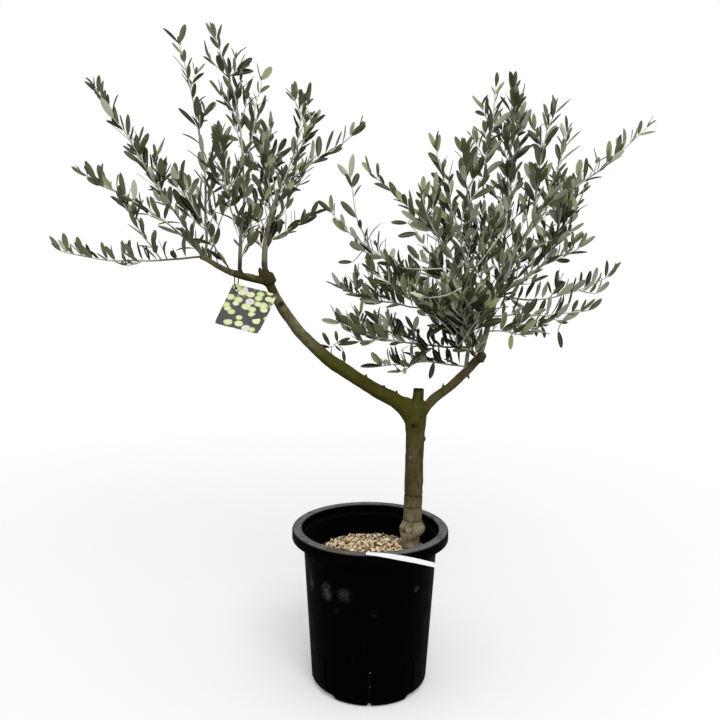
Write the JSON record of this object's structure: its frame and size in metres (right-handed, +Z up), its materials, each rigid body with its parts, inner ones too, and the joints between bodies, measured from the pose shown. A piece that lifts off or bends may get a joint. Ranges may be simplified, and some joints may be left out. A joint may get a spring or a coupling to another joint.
{
  "type": "potted olive tree",
  "caption": "Young olive tree with a forked trunk and a wide, airy crown of long leafy shoots, in a black slit nursery pot with a hang tag on one bough.",
  "frame": {"origin": "centre of the pot's flat underside, on the pot's axis", "axes": "+Z up along the pot's axis, +X to the right and -Y towards the viewer, seen from the side that the hang tag shows on"},
  "size_m": [0.9621, 0.3934, 1.0714],
  "materials": {
    "pot_plastic": "black moulded nursery plastic, semi-gloss with faint scuffs, its lip worn greyer and dusted with soil",
    "soil": "dry potting mix of tan, beige and brown granules and small pebbles",
    "bark": "fine grey-brown olive bark, mossy green-brown higher up, with rings, scars and pruned spurs",
    "young_bark": "smooth thin bark, grey-green on young shoots and darker brown on older ones",
    "foliage": "narrow leathery leaves, dull grey-green above and silvery beneath",
    "tag_card": null,
    "tag_loop": "thin dark thread",
    "label_strip": "blank white plastic strip with a soft sheen"
  },
  "bodies": {
    "root": {"core_front": "foliage", "core_front_left": "foliage", "core_front_right": "foliage", "core_left": "foliage", "core_middle": "foliage", "core_rear": "foliage", "core_rear_left": "foliage", "core_right": "foliage", "crest_far": "foliage", "crest_left": "foliage", "crest_middle": "foliage", "crest_right": "foliage", "far_right": "foliage", "inward_droop": "foliage", "inward_high": "foliage", "inward_high_front": "foliage", "inward_long": "foliage", "inward_long_side": "foliage", "inward_low": "foliage", "inward_middle": "foliage", "inward_rear": "foliage", "label_strip": "label_strip", "left_arch": "foliage", "left_arm": "young_bark", "left_bough_lower": "bark", "left_bough_upper": "bark", "left_centre": "foliage", "left_centre_rear": "foliage", "left_crest": "foliage", "left_front": "foliage", "left_inward": "foliage", "left_inward_low": "foliage", "left_leader": "young_bark", "left_outer_spire": "foliage", "left_reach": "foliage", "left_rear": "foliage", "left_rear_low": "foliage", "left_spire": "foliage", "left_spire_rear": "foliage", "left_spire_side": "foliage", "left_trail": "foliage", "left_trail_side": "foliage", "left_upright": "young_bark", "pot": "pot_plastic", "right_block": "foliage", "right_bough": "bark", "right_flat": "foliage", "right_hanging": "foliage", "right_inner": "young_bark", "right_lift": "young_bark", "right_low": "foliage", "right_middle": "foliage", "right_side": "young_bark", "right_upright": "young_bark", "soil": "soil", "tag_card": "tag_card", "tag_loop": "tag_loop", "thin_spire": "foliage", "trunk": "bark"}
  },
  "joints": []
}
